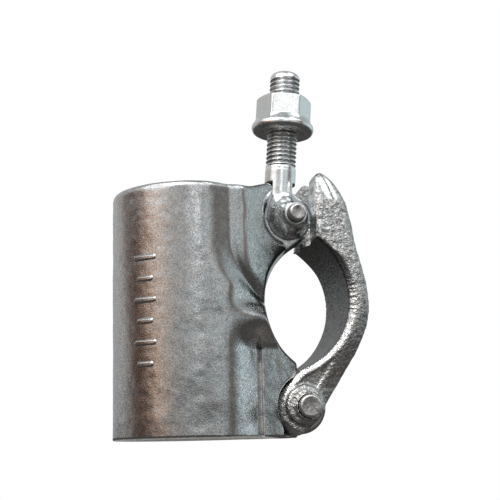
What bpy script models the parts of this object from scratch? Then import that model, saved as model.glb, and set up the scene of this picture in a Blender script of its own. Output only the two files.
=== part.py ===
"""Drop-forged scaffold coupler: a round sleeve with a hinged cap and a swing bolt.

Frame: metres, +Z up.  The sleeve axis is vertical, the cap ring's axis runs along Y,
and the cap is on the +X side.  The origin is the centre of the assembly's footprint,
level with the sleeve's underside.

All dimensions are in millimetres.  The design plane is XZ, with X = 0 on the sleeve
axis and Z = 0 near the ring's centre.  A HALF is half a thickness along Y, an R a radius.
"""
import math

import bmesh
import bpy
from mathutils import Matrix, Vector

MM = 0.001
GAP = 0.3                   # running clearance between neighbouring pieces
SIDES = (("near", -1), ("far", 1))  # towards -Y and towards +Y

# Segments round a full circle
FINE = 96
MEDIUM = 64
COARSE = 48

# How far cutters run, to pass clear through what they cut
CUT_REACH = 20.0
EAR_HOLE_REACH = 30.0
BORE_OVERRUN = 10.0

# ---------------------------------------------------------------- sleeve
SLEEVE_R = 28.0
SLEEVE_BORE_R = 24.35       # takes a 48.3 mm tube
SLEEVE_TOP = 37.6
SLEEVE_BOTTOM = -48.0
SLEEVE_SPARE = 2.0          # extra length below, trimmed off

ORIGIN_X = 16.10            # footprint centre, measured from the sleeve axis
ORIGIN_Z = SLEEVE_BOTTOM

# ---------------------------------------------------------------- pins and their rivets
BOLT_PIN_X, BOLT_PIN_Z = 35.0, 30.0
BOLT_PIN_R = 3.4
BOLT_PIN_HALF = 12.4
BOLT_PIN_CHAMFER = 0.9

CAP_PIN_X, CAP_PIN_Z = 37.2, -37.5
CAP_PIN_R = 4.0
CAP_PIN_HALF = 17.6
CAP_PIN_CHAMFER = 0.8

# ---------------------------------------------------------------- lugs, neck and web
LUG_ROOT_X = 20.0           # both lugs start inside the sleeve wall
LUG_HALF = 3.6
LUG_TOP = 40.6
BOLT_LUG_R = 9.2
CAP_LUG_R = 9.3

NECK_ROOT_X = 8.0           # neck and web start inside the bore
NECK_X = 25.6               # how far the thick neck reaches
NECK_TOP_X = NECK_X + 2.4   # the same, where neck and web meet
WEB_HALF = 8.5
NECK_HALF = WEB_HALF + 3.5
WEB_TOP = SLEEVE_TOP - 1.5

# ---------------------------------------------------------------- seat of the crossing tube
SEAT_X, SEAT_Z = 49.7, -1.2
SEAT_R = 24.5
SEAT_FLARE = 3.6            # how much the seat opens out at its mouth
SEAT_FLARE_Y = 19.0         # distance of the mouth from the middle
SEAT_END_Y = SEAT_FLARE_Y + 15
SEAT_END_R = SEAT_R + SEAT_FLARE + 3.0

# ---------------------------------------------------------------- cap
RING_X, RING_Z = 27.0, -0.4  # centre of the cap's inner arc
RING_R = 25.8
CAP_HALF = 16.4
EAR_HALF = 12.0             # the cap is narrower at its hinge ears
EAR_R = 10.2
EAR_BOSS_R = 5.8
EAR_BOSS_HALF = 14.0
EAR_SLOT_HALF = LUG_HALF + 0.4
EAR_SLOT_R = 13.2
FORK_FACE_X = 41.4          # the fork's face towards the sleeve
FORK_SLOT_HALF = 6.35
FORK_SLOT_ROOT = 21.2

# (x, z) up the fork's face to its tip
FORK_TIP = [(FORK_FACE_X, FORK_SLOT_ROOT), (FORK_FACE_X, 39.6), (41.9, 43.0), (43.0, 44.8)]
# (x, z) from the fork's tip down the +X side of the ring to the ears
CAP_OUTER_LINE = [
    (44.6, 45.4), (47.2, 43.6), (49.6, 40.2), (51.6, 36.6), (53.2, 32.6), (54.5, 27.0),
    (55.6, 20.5), (57.2, 14.0), (58.8, 7.8), (59.9, 1.6), (60.2, -3.4), (59.6, -8.0),
    (58.2, -12.4), (56.2, -17.2), (53.5, -22.4), (50.6, -27.4), (47.4, -32.6), (44.3, -37.4),
    (41.3, -41.8), (38.4, -44.9),
]
# (y, z) of what is cut from the cap's +Y side at the ears
EAR_TAPER = [
    (EAR_HALF, -62.0), (EAR_HALF, -33.0), (CAP_HALF + 0.4, -14.0), (34.0, -14.0), (34.0, -62.0),
]
EAR_TAPER_X = (5.0, 75.0)

# ---------------------------------------------------------------- swing bolt
# Lengths along the bolt are measured from its pin.
BOLT_LEAN = 4.4             # degrees, top towards +X
SHANK_OFFSET = -3.2         # the shank stands off-centre on its eye, towards the sleeve
BALL_R = 8.6                # ball end of the bolt
BALL_FLAT = 7.5             # the ball's sides are cut flat at this Y
BALL_BOSS_R = 4.9
BALL_BOSS_HALF = 8.7
BOLT_SLOT_ROOT = 13.0       # the ball end straddles the upper lug up to here
SHANK_START = 1.0
NECK_R = 5.85               # plain part of the shank
THREAD_START = 18.6
THREAD_TAPER = 0.8          # length of the step from plain part to thread
THREAD_R = 5.55             # 7/16 in Whitworth
TIP = 57.3
TIP_ROUND = 2.6

# ---------------------------------------------------------------- reliefs beside the lugs
RELIEF_Y = 15.0
EAR_RELIEF_R = EAR_R + 0.5
BALL_RELIEF_R = BALL_R - 0.3
CHEEK_X = (26.4, 60.0)      # the neck is cut back for the cheeks of the bolt's fork
CHEEK_Z = (BOLT_PIN_Z + 0.5, LUG_TOP + 10)

# ---------------------------------------------------------------- nut, heights from the bolt's pin
NUT_BASE = 33.0
NUT_RIM_LOW = 34.2
NUT_RIM_HIGH = 36.4
NUT_HEX_LOW = 37.4
NUT_TOP = 46.0
NUT_BASE_R = 10.0
NUT_RIM_R = 11.8
NUT_ACROSS_FLATS = 17.8
NUT_CORNER_R = NUT_ACROSS_FLATS / 2 / math.cos(math.radians(30))
NUT_BLANK_R = NUT_CORNER_R + 0.05   # just clear of the hexagon's corners
NUT_BORE_R = THREAD_R + 0.3
NUT_TOP_INSET = 0.4         # top face's edge, inside the flats
NUT_TOP_CHAMFER = 1.9


# ---------------------------------------------------------------- outlines
def arc(centre_x, centre_z, radius, start, end, count):
    """Points on a circle from start to end degrees, both included."""
    angles = [math.radians(start + (end - start) * i / count) for i in range(count + 1)]
    return [(centre_x + radius * math.cos(a), centre_z + radius * math.sin(a)) for a in angles]


def mirrored(half_profile):
    """A (radius, height) profile followed by its mirror image below height 0."""
    return half_profile + [(radius, -height) for radius, height in reversed(half_profile)]


# ---------------------------------------------------------------- objects and solids
def place(x, y, z):
    """Design millimetres to world metres."""
    return Vector(((x - ORIGIN_X) * MM, y * MM, (z - ORIGIN_Z) * MM))


def new_collection(name):
    collection = bpy.data.collections.new(name)
    bpy.context.scene.collection.children.link(collection)
    return collection


def add_object(name, data, location, helper=False, parent=None):
    """Helpers are the boolean operands: kept out of renders and drawn as wires."""
    obj = bpy.data.objects.new(name, data)
    obj.location = location
    obj.parent = parent
    (CUTTERS if helper else PARTS).objects.link(obj)
    if helper:
        obj.hide_render = True
        obj.display_type = "WIRE"
    return obj


def from_bmesh(name, bm, location, helper=True, parent=None):
    bmesh.ops.recalc_face_normals(bm, faces=bm.faces)
    mesh = bpy.data.meshes.new(name)
    bm.to_mesh(mesh)
    bm.free()
    return add_object(name, mesh, location, helper, parent)


def prism(name, outline, half, pivot, helper=True):
    """An (x, z) outline made thick along Y, with its origin at pivot."""
    curve = bpy.data.curves.new(name + "_outline", "CURVE")
    curve.dimensions = "2D"
    curve.fill_mode = "BOTH"
    curve.extrude = half * MM
    spline = curve.splines.new("POLY")
    spline.points.add(len(outline) - 1)
    for point, (x, z) in zip(spline.points, outline):
        point.co = ((x - pivot[0]) * MM, (z - pivot[1]) * MM, 0.0, 1.0)
    spline.use_cyclic_u = True
    temp = bpy.data.objects.new(name + "_curve", curve)
    PARTS.objects.link(temp)
    bpy.context.view_layer.update()
    graph = bpy.context.evaluated_depsgraph_get()
    mesh = bpy.data.meshes.new_from_object(temp.evaluated_get(graph))
    bpy.data.objects.remove(temp, do_unlink=True)

    bm = bmesh.new()
    bm.from_mesh(mesh)
    bpy.data.meshes.remove(mesh)
    # The curve's fill and its sides come unjoined.
    bmesh.ops.remove_doubles(bm, verts=bm.verts, dist=1e-6)
    bmesh.ops.transform(bm, matrix=Matrix.Rotation(math.radians(90), 4, "X"), verts=bm.verts)
    return from_bmesh(name, bm, place(pivot[0], 0, pivot[1]), helper)


def prism_x(name, outline, x0, x1):
    """A helper with a (y, z) outline, made thick along X from x0 to x1."""
    bm = bmesh.new()
    face = bm.faces.new([bm.verts.new(((x0 - x1) / 2 * MM, y * MM, z * MM)) for y, z in outline])
    grown = bmesh.ops.extrude_face_region(bm, geom=[face])
    moved = [item for item in grown["geom"] if isinstance(item, bmesh.types.BMVert)]
    bmesh.ops.translate(bm, vec=((x1 - x0) * MM, 0, 0), verts=moved)
    return from_bmesh(name, bm, place((x0 + x1) / 2, 0, 0))


def cylinder(name, radius, length, segments, matrix, location, helper=True, parent=None):
    bm = bmesh.new()
    bmesh.ops.create_cone(bm, cap_ends=True, segments=segments, radius1=radius * MM,
                          radius2=radius * MM, depth=length * MM, matrix=matrix)
    return from_bmesh(name, bm, location, helper, parent)


def rod_y(name, radius, y0, y1, x, z, segments):
    """A helper cylinder along Y."""
    return cylinder(name, radius, y1 - y0, segments, Matrix.Rotation(math.radians(90), 4, "X"),
                    place(x, (y0 + y1) / 2, z))


def rod_z(name, radius, z0, z1, helper=True):
    """A cylinder on the sleeve axis, turned by half a segment."""
    return cylinder(name, radius, z1 - z0, FINE,
                    Matrix.Rotation(math.radians(180.0 / FINE), 4, "Z"),
                    place(0, 0, (z0 + z1) / 2), helper)


def shank_rod(name, radius, z0, z1, segments, swing):
    """A helper cylinder round the bolt's shank."""
    return cylinder(name, radius, z1 - z0, segments,
                    Matrix.Translation((0, 0, (z0 + z1) / 2 * MM)),
                    (SHANK_OFFSET * MM, 0, 0), parent=swing)


def box(name, size, location, parent=None):
    """A helper box, its size in mm and its centre in metres."""
    bm = bmesh.new()
    scale = Matrix.Diagonal((*(length * MM for length in size), 1.0))
    bmesh.ops.create_cube(bm, size=1.0, matrix=scale)
    return from_bmesh(name, bm, location, parent=parent)


def block(name, x0, x1, y0, y1, z0, z1):
    """A helper box between design coordinates."""
    return box(name, (x1 - x0, y1 - y0, z1 - z0),
               place((x0 + x1) / 2, (y0 + y1) / 2, (z0 + z1) / 2))


def turned(name, profile, location, along_y=False, steps=MEDIUM, helper=False, parent=None):
    """A (radius, height) profile, top to bottom, turned about Z or about Y.

    A profile that starts off the axis is closed into a loop.
    """
    verts = [(radius * MM, 0.0, height * MM) for radius, height in profile]
    edges = [(i, i + 1) for i in range(len(verts) - 1)]
    if profile[0][0] > 0:
        edges.append((len(verts) - 1, 0))
    mesh = bpy.data.meshes.new(name)
    mesh.from_pydata(verts, edges, [])
    obj = add_object(name, mesh, location, helper, parent)
    if along_y:
        obj.rotation_euler = (math.radians(90), 0, 0)
    screw = obj.modifiers.new("turn", "SCREW")
    screw.axis = "Z"
    screw.angle = math.radians(360)
    screw.steps = steps
    screw.render_steps = steps
    screw.use_merge_vertices = True
    screw.merge_threshold = 0.00001
    screw.use_smooth_shade = True
    return obj


def boolean(obj, operation, *others):
    for other in others:
        mod = obj.modifiers.new(operation.lower() + "_" + other.name, "BOOLEAN")
        mod.operation = operation
        mod.object = other
        mod.solver = "EXACT"


def bolt_pin_rod(name, radius, y0, y1, segments=COARSE):
    return rod_y(name, radius, y0, y1, BOLT_PIN_X, BOLT_PIN_Z, segments)


def cap_pin_rod(name, radius, y0, y1, segments=COARSE):
    return rod_y(name, radius, y0, y1, CAP_PIN_X, CAP_PIN_Z, segments)


# ---------------------------------------------------------------- materials
def metal(name, colour, roughness):
    mat = bpy.data.materials.new(name)
    mat.use_nodes = True
    shader = mat.node_tree.nodes["Principled BSDF"]
    shader.inputs["Base Color"].default_value = (*colour, 1.0)
    shader.inputs["Roughness"].default_value = roughness
    shader.inputs["Metallic"].default_value = 1.0
    return mat


# ---------------------------------------------------------------- body: sleeve, neck and two lugs
def upper_lug_blank():
    """Flat plate that carries the swing bolt, round about the bolt's pin."""
    outline = [(LUG_ROOT_X, -6.0), (LUG_ROOT_X, LUG_TOP - 1.2), (24.0, LUG_TOP),
               (BOLT_PIN_X - 1.5, LUG_TOP), (BOLT_PIN_X + 2.6, LUG_TOP - 1.0)]
    outline += arc(BOLT_PIN_X, BOLT_PIN_Z, BOLT_LUG_R, 52, -62, 16)
    outline += [(34.0, 15.0), (30.0, 4.0)]
    return prism("upper_lug_blank", outline, LUG_HALF, (30.0, 10.0))


def lower_lug_blank():
    """Flat plate that carries the cap; the trim makes it flush with the sleeve's underside."""
    outline = [(LUG_ROOT_X, 6.0), (LUG_ROOT_X, SLEEVE_BOTTOM - 3.0),
               (31.5, SLEEVE_BOTTOM - 3.0), (33.6, SLEEVE_BOTTOM + 0.3)]
    outline += arc(CAP_PIN_X, CAP_PIN_Z, CAP_LUG_R, -106, 62, 22)
    outline += [(37.2, -26.6), (34.6, -22.2), (30.0, -8.0)]
    return prism("lower_lug_blank", outline, LUG_HALF, (30.0, -25.0))


def neck_blank():
    """The thick forging between the sleeve and the lower lug."""
    outline = [(NECK_ROOT_X, 2.0), (NECK_ROOT_X, SLEEVE_BOTTOM - 4.0),
               (NECK_X - 3.0, SLEEVE_BOTTOM - 4.0), (NECK_X, SLEEVE_BOTTOM + 5.0),
               (NECK_X, -20.0), (NECK_TOP_X, -2.0)]
    return prism("neck_blank", outline, NECK_HALF, (18.0, -22.0))


def web_blank():
    """The thinner web above the neck."""
    outline = [(NECK_ROOT_X, -4.0), (NECK_ROOT_X, WEB_TOP), (24.4, WEB_TOP), (25.8, 20.0),
               (NECK_TOP_X, -4.0)]
    return prism("web_blank", outline, WEB_HALF, (18.0, 10.0))


def seat_cutter():
    """The crossing tube's seat, flared towards both mouths."""
    profile = mirrored([
        (0.0, SEAT_END_Y), (SEAT_END_R, SEAT_END_Y), (SEAT_R + SEAT_FLARE, SEAT_FLARE_Y),
        (SEAT_R + SEAT_FLARE * 0.30, SEAT_FLARE_Y * 0.55), (SEAT_R, SEAT_FLARE_Y * 0.25),
    ])
    return turned("seat_cutter", profile, place(SEAT_X, 0, SEAT_Z), along_y=True, steps=FINE,
                  helper=True)


def build_body(finish):
    body = rod_z("sleeve_body", SLEEVE_R, SLEEVE_BOTTOM - SLEEVE_SPARE, SLEEVE_TOP, helper=False)
    body.data.materials.append(finish)
    boolean(body, "UNION", neck_blank(), web_blank(), upper_lug_blank(), lower_lug_blank())
    boolean(
        body, "DIFFERENCE",
        rod_z("bore_cutter", SLEEVE_BORE_R, SLEEVE_BOTTOM - BORE_OVERRUN,
              SLEEVE_TOP + BORE_OVERRUN),
        seat_cutter(),
        bolt_pin_rod("bolt_pin_hole", BOLT_PIN_R + GAP, -CUT_REACH, CUT_REACH),
        cap_pin_rod("cap_pin_hole", CAP_PIN_R + GAP, -CUT_REACH, CUT_REACH),
        block("underside_trim", -60, 80, -60, 60, SLEEVE_BOTTOM - 30, SLEEVE_BOTTOM),
    )
    # The sleeve's side is relieved where the ears and the ball end turn beside the lugs.
    for label, side in SIDES:
        low, high = sorted((side * LUG_HALF, side * RELIEF_Y))
        boolean(
            body, "DIFFERENCE",
            cap_pin_rod("ear_relief_" + label, EAR_RELIEF_R, low, high, MEDIUM),
            bolt_pin_rod("ball_relief_" + label, BALL_RELIEF_R, low, high, MEDIUM),
            block("cheek_relief_" + label, *CHEEK_X, low, high, *CHEEK_Z),
        )


# ---------------------------------------------------------------- cap: ring, fork and two ears
def build_cap(finish):
    ear = arc(CAP_PIN_X, CAP_PIN_Z, EAR_R, -105, -222, 20)
    # The inner arc ends just short of the root of the fork's face.
    ring_top = math.degrees(math.atan2(FORK_SLOT_ROOT - RING_Z, FORK_FACE_X - 0.4 - RING_X))
    inner_arc = arc(RING_X, RING_Z, RING_R, -70.0, ring_top, 30)
    cap = prism("hinged_cap", FORK_TIP + CAP_OUTER_LINE + ear + inner_arc, CAP_HALF,
                (CAP_PIN_X, CAP_PIN_Z), helper=False)
    cap.data.materials.append(finish)

    for label, side in SIDES:
        outline = [(y * side, z) for y, z in EAR_TAPER]
        boolean(cap, "DIFFERENCE", prism_x("ear_taper_" + label, outline, *EAR_TAPER_X))
    boolean(cap, "UNION", cap_pin_rod("ear_boss", EAR_BOSS_R, -EAR_BOSS_HALF, EAR_BOSS_HALF))
    boolean(
        cap, "DIFFERENCE",
        block("fork_slot", 30, 70, -FORK_SLOT_HALF, FORK_SLOT_HALF, FORK_SLOT_ROOT, 60),
        cap_pin_rod("ear_slot", EAR_SLOT_R, -EAR_SLOT_HALF, EAR_SLOT_HALF, MEDIUM),
        cap_pin_rod("ear_pin_hole", CAP_PIN_R + GAP, -EAR_HOLE_REACH, EAR_HOLE_REACH),
    )


# ---------------------------------------------------------------- swing bolt and its nut
def build_swing_axis():
    """Empty on the bolt's pin that carries the lean of bolt and nut."""
    swing = add_object("bolt_swing_axis", None, place(BOLT_PIN_X, 0, BOLT_PIN_Z))
    swing.rotation_euler = (0.0, math.radians(BOLT_LEAN), 0.0)
    return swing


def build_bolt(swing, finish):
    profile = [(0.0, TIP)]
    profile += arc(THREAD_R - TIP_ROUND, TIP - TIP_ROUND, TIP_ROUND, 67.5, 0, 3)
    profile += [(THREAD_R, THREAD_START + THREAD_TAPER), (NECK_R, THREAD_START),
                (NECK_R, SHANK_START), (0.0, SHANK_START)]
    bolt = turned("swing_bolt", profile, (SHANK_OFFSET * MM, 0, 0), parent=swing)
    bolt.data.materials.append(finish)

    # The poles are written out so that they lie exactly on the axis.
    ball_sides = arc(0, 0, BALL_R, 90, -90, 16)[1:-1]
    ball_profile = [(0.0, BALL_R)] + ball_sides + [(0.0, -BALL_R)]
    boolean(bolt, "UNION", turned("ball_blank", ball_profile, (0, 0, 0), helper=True,
                                  parent=swing))
    # The flats, boss and hole lie along Y through the pin, so the lean leaves them alone.
    for label, side in SIDES:
        low, high = sorted((side * BALL_FLAT, side * CUT_REACH))
        boolean(bolt, "DIFFERENCE", block(
            "ball_flat_" + label, BOLT_PIN_X - CUT_REACH, BOLT_PIN_X + CUT_REACH, low, high,
            BOLT_PIN_Z - CUT_REACH, BOLT_PIN_Z + CUT_REACH))
    boolean(bolt, "UNION", bolt_pin_rod("ball_boss", BALL_BOSS_R, -BALL_BOSS_HALF,
                                        BALL_BOSS_HALF))
    slot_size = (2 * CUT_REACH, 2 * (LUG_HALF + GAP), BOLT_SLOT_ROOT + CUT_REACH)
    boolean(
        bolt, "DIFFERENCE",
        box("bolt_slot", slot_size, (0, 0, (BOLT_SLOT_ROOT - CUT_REACH) / 2 * MM), swing),
        bolt_pin_rod("ball_hole", BOLT_PIN_R + GAP, -CUT_REACH, CUT_REACH),
    )


def build_nut(swing, finish):
    """Hexagon with a chamfered top over a flange whose underside is a cone."""
    nut = turned("flange_nut", [
        (NUT_BORE_R, NUT_TOP), (NUT_ACROSS_FLATS / 2 - NUT_TOP_INSET, NUT_TOP),
        (NUT_BLANK_R, NUT_TOP - NUT_TOP_CHAMFER), (NUT_BLANK_R, NUT_HEX_LOW + 0.6),
        (NUT_RIM_R, NUT_RIM_HIGH), (NUT_RIM_R, NUT_RIM_LOW),
        (NUT_BASE_R, NUT_BASE), (NUT_BORE_R, NUT_BASE),
    ], (SHANK_OFFSET * MM, 0, 0), steps=FINE, parent=swing)
    nut.data.materials.append(finish)
    # The hexagonal bar shapes the top; the round skirt keeps the flange whole.
    hex_bar = shank_rod("hex_bar", NUT_CORNER_R, NUT_HEX_LOW - 4, NUT_TOP + 5, 6, swing)
    skirt = shank_rod("nut_skirt", NUT_RIM_R + 3, 20, NUT_HEX_LOW, FINE, swing)
    boolean(hex_bar, "UNION", skirt)
    boolean(nut, "INTERSECT", hex_bar)


# ---------------------------------------------------------------- rivets
def build_rivet(name, radius, half, x, z, chamfer, finish):
    profile = mirrored([(0.0, half), (radius - chamfer, half), (radius, half - chamfer)])
    rivet = turned(name, profile, place(x, 0, z), along_y=True, steps=COARSE)
    rivet.data.materials.append(finish)


# ---------------------------------------------------------------- assembly
for old in list(bpy.data.objects):
    bpy.data.objects.remove(old, do_unlink=True)

PARTS = new_collection("scaffold_coupler")
CUTTERS = new_collection("cutters")

forged_zinc = metal("forged_zinc_plate", colour=(0.50, 0.52, 0.53), roughness=0.38)
cap_zinc = metal("coarse_zinc_plate", colour=(0.43, 0.45, 0.46), roughness=0.48)
bright_zinc = metal("bright_zinc_plate", colour=(0.68, 0.70, 0.71), roughness=0.22)
pin_steel = metal("pin_steel", colour=(0.45, 0.45, 0.44), roughness=0.35)

build_body(forged_zinc)
build_cap(cap_zinc)
swing_axis = build_swing_axis()
build_bolt(swing_axis, bright_zinc)
build_nut(swing_axis, bright_zinc)
build_rivet("bolt_rivet", BOLT_PIN_R, BOLT_PIN_HALF, BOLT_PIN_X, BOLT_PIN_Z,
            BOLT_PIN_CHAMFER, pin_steel)
build_rivet("hinge_rivet", CAP_PIN_R, CAP_PIN_HALF, CAP_PIN_X, CAP_PIN_Z,
            CAP_PIN_CHAMFER, pin_steel)
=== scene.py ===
"""Looks of a drop-forged scaffold coupler clamp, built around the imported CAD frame.

A sleeve with its neck and lugs, a hinged cap, a swing bolt with a rolled thread, a flanged
nut and two peened rivets. Shapes are drawn in design millimetres: the sleeve's axis is the
line X = 0, Y = 0 along Z, the cap lies towards +X, and both rivets run along Y.
Forgings are signed distance fields, meshed here and then placed in the row's frame.
"""
import math
from functools import lru_cache
from itertools import product

import bpy
import numpy as np
from mathutils import Matrix, Vector


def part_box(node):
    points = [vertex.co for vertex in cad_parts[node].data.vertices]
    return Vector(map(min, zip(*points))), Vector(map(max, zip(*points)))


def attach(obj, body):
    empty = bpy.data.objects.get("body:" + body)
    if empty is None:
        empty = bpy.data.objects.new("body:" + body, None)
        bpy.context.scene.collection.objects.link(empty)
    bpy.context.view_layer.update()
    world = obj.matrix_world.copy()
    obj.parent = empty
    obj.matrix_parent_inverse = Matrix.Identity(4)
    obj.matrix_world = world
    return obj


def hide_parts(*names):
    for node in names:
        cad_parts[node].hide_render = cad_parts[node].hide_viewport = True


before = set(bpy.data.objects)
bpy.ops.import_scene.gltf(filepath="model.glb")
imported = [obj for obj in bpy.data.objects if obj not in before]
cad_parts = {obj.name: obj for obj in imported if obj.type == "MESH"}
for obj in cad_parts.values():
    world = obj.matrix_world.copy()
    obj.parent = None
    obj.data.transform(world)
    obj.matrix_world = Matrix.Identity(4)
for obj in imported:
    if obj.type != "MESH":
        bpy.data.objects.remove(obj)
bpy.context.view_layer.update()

# ------------------------------------------------------------------ driving sizes, mm
SLEEVE_R = 28.0
BORE_R = 24.35
BODY_FOOT = -48.0
LUG_HALF = 3.6            # half thickness of both lugs
BOLT_PIN = (35.0, 30.0)   # centres in X, Z
CAP_PIN = (37.2, -37.5)
RING = (27.0, -0.4)       # the round mouth inside the cap
RING_R = 25.8
SEAT = (49.7, -1.2)       # the crossing tube's seat in the body
BOLT_PIN_R = 3.05
CAP_PIN_R = 4.0
EYE_HALF = 12.2           # half width of the bolt's ball end along Y
LEAN = math.radians(4.4)  # of the bolt, towards +X
SHANK_X = -3.3            # the shank stands off-centre on its eye
COS45 = 0.70711

body_low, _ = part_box("sleeve_body")
ORIGIN_X = -(body_low[0] * 1000.0 + SLEEVE_R)
ORIGIN_Z = BODY_FOOT - body_low[2] * 1000.0


def to_row(points):
    """Design millimetres to the row's metres."""
    placed = np.array(points, dtype=np.float64)
    placed[:, 0] -= ORIGIN_X
    placed[:, 2] -= ORIGIN_Z
    return placed * 0.001


# ------------------------------------------------------------------ field helpers
def smin(a, b, blend):
    """Union of two fields, rounded over the blend length."""
    h = np.maximum(blend - np.abs(a - b), 0.0) / blend
    return np.minimum(a, b) - h * h * blend * 0.25


def smax(a, b, blend):
    """Intersection of two fields, rounded over the blend length."""
    return -smin(-a, -b, blend)


def ease(t):
    """Smooth step from 0 to 1."""
    t = np.clip(t, 0.0, 1.0)
    return t * t * (3.0 - 2.0 * t)


def distance(x, z, centre):
    return np.sqrt((x - centre[0]) ** 2 + (z - centre[1]) ** 2)


def line_distance(x, z, line):
    """Distance to an open line."""
    line = np.asarray(line, dtype=np.float64)
    x, z = np.broadcast_arrays(x, z)
    best = np.full(x.shape, 1e18)
    for (ax, az), (bx, bz) in zip(line[:-1], line[1:]):
        ex, ez = bx - ax, bz - az
        wx, wz = x - ax, z - az
        t = np.clip((wx * ex + wz * ez) / (ex * ex + ez * ez + 1e-12), 0.0, 1.0)
        best = np.minimum(best, (wx - ex * t) ** 2 + (wz - ez * t) ** 2)
    return np.sqrt(best)


def outline_distance(x, z, outline):
    """Signed distance to a closed outline, negative inside."""
    closed = np.array(list(outline) + [outline[0]], dtype=np.float64)
    x, z = np.broadcast_arrays(x, z)
    sign = np.ones(x.shape)
    for (ax, az), (bx, bz) in zip(closed[:-1], closed[1:]):
        above, below = z >= az, z < bz
        left = (bx - ax) * (z - az) > (bz - az) * (x - ax)
        sign = np.where((above & below & left) | (~above & ~below & ~left), -sign, sign)
    return sign * line_distance(x, z, closed)


def arc(centre, radius, start, end, count):
    angles = np.radians(np.linspace(start, end, count + 1))
    return [(centre[0] + radius * math.cos(a), centre[1] + radius * math.sin(a)) for a in angles]


def smooth_line(points, per):
    """Catmull-Rom through the given points, with per steps to a span."""
    padded = [points[0]] + list(points) + [points[-1]]
    line = []
    for i in range(1, len(padded) - 2):
        p0, p1, p2, p3 = (np.array(v, dtype=float) for v in padded[i - 1:i + 3])
        for j in range(per):
            t = j / per
            line.append(tuple(0.5 * ((2 * p1) + (p2 - p0) * t
                                     + (2 * p0 - 5 * p1 + 4 * p2 - p3) * t * t
                                     + (3 * p1 - p0 - 3 * p2 + p3) * t ** 3)))
    line.append(tuple(points[-1]))
    return line


@lru_cache(maxsize=None)
def noise_table(seed):
    return np.random.RandomState(seed).rand(32, 32, 32) * 2 - 1


def lattice_noise(points, size, seed):
    """Smooth value noise between -1 and 1 at points (N, 3)."""
    table = noise_table(seed)
    scaled = points / size + 1000.0
    cell = np.floor(scaled).astype(int)
    part = ease(scaled - cell)
    total = np.zeros(len(points))
    for corner in product((0, 1), repeat=3):
        weight = np.prod(np.where(corner, part, 1 - part), axis=1)
        total += weight * table[tuple(((cell + corner) % 32).T)]
    return total


def roughness(points, *layers):
    """Sum of noise layers, each (height, size, seed)."""
    return sum(height * lattice_noise(points, size, seed) for height, size, seed in layers)


def gradient(field, points, e=0.03):
    x, y, z = points.T
    here = field(x, y, z)
    ahead = (field(x + e, y, z), field(x, y + e, z), field(x, y, z + e))
    return here, np.stack([value - here for value in ahead], axis=1) / e


def normals(field, points):
    _, slope = gradient(field, points)
    return slope / np.maximum(np.linalg.norm(slope, axis=1), 1e-6)[:, None]


def surface_net(field, low, high, step):
    """Closed quad mesh of the field's zero level inside the box from low to high."""
    axes = [np.arange(a, b + step, step) for a, b in zip(low, high)]
    shape = tuple(len(a) for a in axes)
    values = np.array(np.broadcast_to(field(*np.ix_(*axes)), shape), dtype=np.float64)
    values = np.where(np.abs(values) < 1e-7, 1e-7, values)
    inside = values < 0

    # one point to each cell the surface passes through
    nx, ny, nz = (s - 1 for s in shape)
    count = np.zeros((nx, ny, nz), dtype=np.int8)
    for a, b, c in product((0, 1), repeat=3):
        count += inside[a:a + nx, b:b + ny, c:c + nz]
    active = (count > 0) & (count < 8)
    index = np.full(active.shape, -1, dtype=np.int64)
    cells = np.argwhere(active)
    index[active] = np.arange(len(cells))

    # it lies at the mean of the crossings on the cell's edges
    total = np.zeros((len(cells), 3))
    hits = np.zeros(len(cells))
    for axis in range(3):
        others = [k for k in range(3) if k != axis]
        for a, b in product((0, 1), repeat=2):
            start = np.zeros(3, dtype=int)
            start[others] = a, b
            end = start.copy()
            end[axis] = 1
            v0 = values[tuple((cells + start).T)]
            v1 = values[tuple((cells + end).T)]
            crossing = (v0 < 0) != (v1 < 0)
            t = np.where(crossing, v0 / np.where(crossing, v0 - v1, 1.0), 0.0)
            point = start[None, :] + t[:, None] * (end - start)[None, :]
            total += np.where(crossing[:, None], point, 0.0)
            hits += crossing
    points = np.array(low)[None, :] + (cells + total / hits[:, None]) * step

    # one quad around each grid edge that crosses the surface
    faces = []
    for axis in range(3):
        p, q = (axis + 1) % 3, (axis + 2) % 3
        low_side = [slice(None)] * 3
        high_side = [slice(None)] * 3
        low_side[axis], high_side[axis] = slice(0, -1), slice(1, None)
        starts_inside = inside[tuple(low_side)]
        edges = np.argwhere(starts_inside != inside[tuple(high_side)])
        keep = np.ones(len(edges), dtype=bool)
        for k in (p, q):
            keep &= (edges[:, k] >= 1) & (edges[:, k] <= shape[k] - 2)
        edges = edges[keep]
        outward = starts_inside[tuple(edges.T)]
        quads = []
        for dp, dq in ((-1, -1), (0, -1), (0, 0), (-1, 0)):
            cell = edges.copy()
            cell[:, p] += dp
            cell[:, q] += dq
            quads.append(index[tuple(cell.T)])
        quads = np.stack(quads, axis=1)
        quads[~outward] = quads[~outward][:, ::-1]
        faces.append(quads)

    # pull the points onto the surface, a limited step at a time
    limit = 0.45 * step
    for _ in range(3):
        value, slope = gradient(field, points)
        move = -(value / np.maximum((slope * slope).sum(1), 0.05))[:, None] * slope
        length = np.linalg.norm(move, axis=1)
        points = points + move * np.where(length > limit, limit / np.maximum(length, 1e-9),
                                          1.0)[:, None]
    return points, np.concatenate(faces)


def link(name, data):
    obj = bpy.data.objects.new(name, data)
    bpy.context.scene.collection.objects.link(obj)
    return obj


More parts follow.
